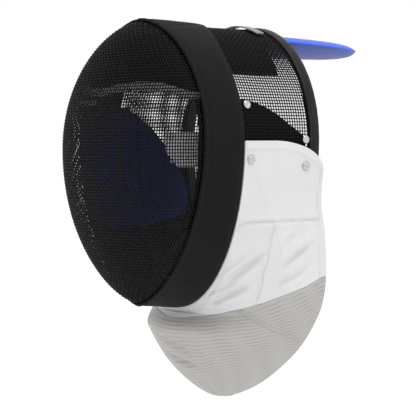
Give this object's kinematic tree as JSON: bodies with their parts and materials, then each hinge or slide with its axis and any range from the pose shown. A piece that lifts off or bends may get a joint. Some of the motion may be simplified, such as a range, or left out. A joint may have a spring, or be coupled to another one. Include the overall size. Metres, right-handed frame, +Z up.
{
  "type": "fencing mask",
  "caption": "Foil fencing mask with a domed wire face, wire side mesh, wide trim band, white padded bib with a conductive lower part, inner pads and a spring tongue behind.",
  "frame": {"origin": "where the crown of the head carries the mask, on the underside of the crown pad, on the middle plane", "axes": "+Z up; the face looks along -Y; +X is the wearer's left"},
  "size_m": [0.2294, 0.348, 0.3913],
  "materials": {
    "wire": "black powder-coated woven wire",
    "trim": "matt black stretch fabric",
    "edging": "satin black vinyl tape",
    "bib_cloth": "white quilted protective cloth",
    "lame": "grey ribbed conductive weave",
    "black_pad": "black padded lining",
    "blue_pad": "blue padded lining",
    "elastic": "light woven elastic",
    "steel": "plain spring steel and plate",
    "rivet": "satin rivet",
    "tongue_blue": "smooth blue coated fabric"
  },
  "bodies": {
    "root": {"front_mesh": "wire", "side_mesh": "wire", "front_trim": "trim", "rear_edging": "edging", "bib": "bib_cloth", "bib_lame": "lame", "crown_pad": "black_pad", "forehead_pad": "black_pad", "chin_pad": "black_pad", "cheek_pad_left": "blue_pad", "cheek_pad_right": "blue_pad", "rear_strap": "elastic", "tongue_plate": "steel", "tongue_spring": "steel", "tongue": "tongue_blue", "mesh_rivet_front_left": "rivet", "mesh_rivet_rear_left": "rivet", "bib_rivet_front_left": "rivet", "bib_rivet_rear_left": "rivet", "mesh_rivet_front_right": "rivet", "mesh_rivet_rear_right": "rivet", "bib_rivet_front_right": "rivet", "bib_rivet_rear_right": "rivet"}
  },
  "joints": []
}
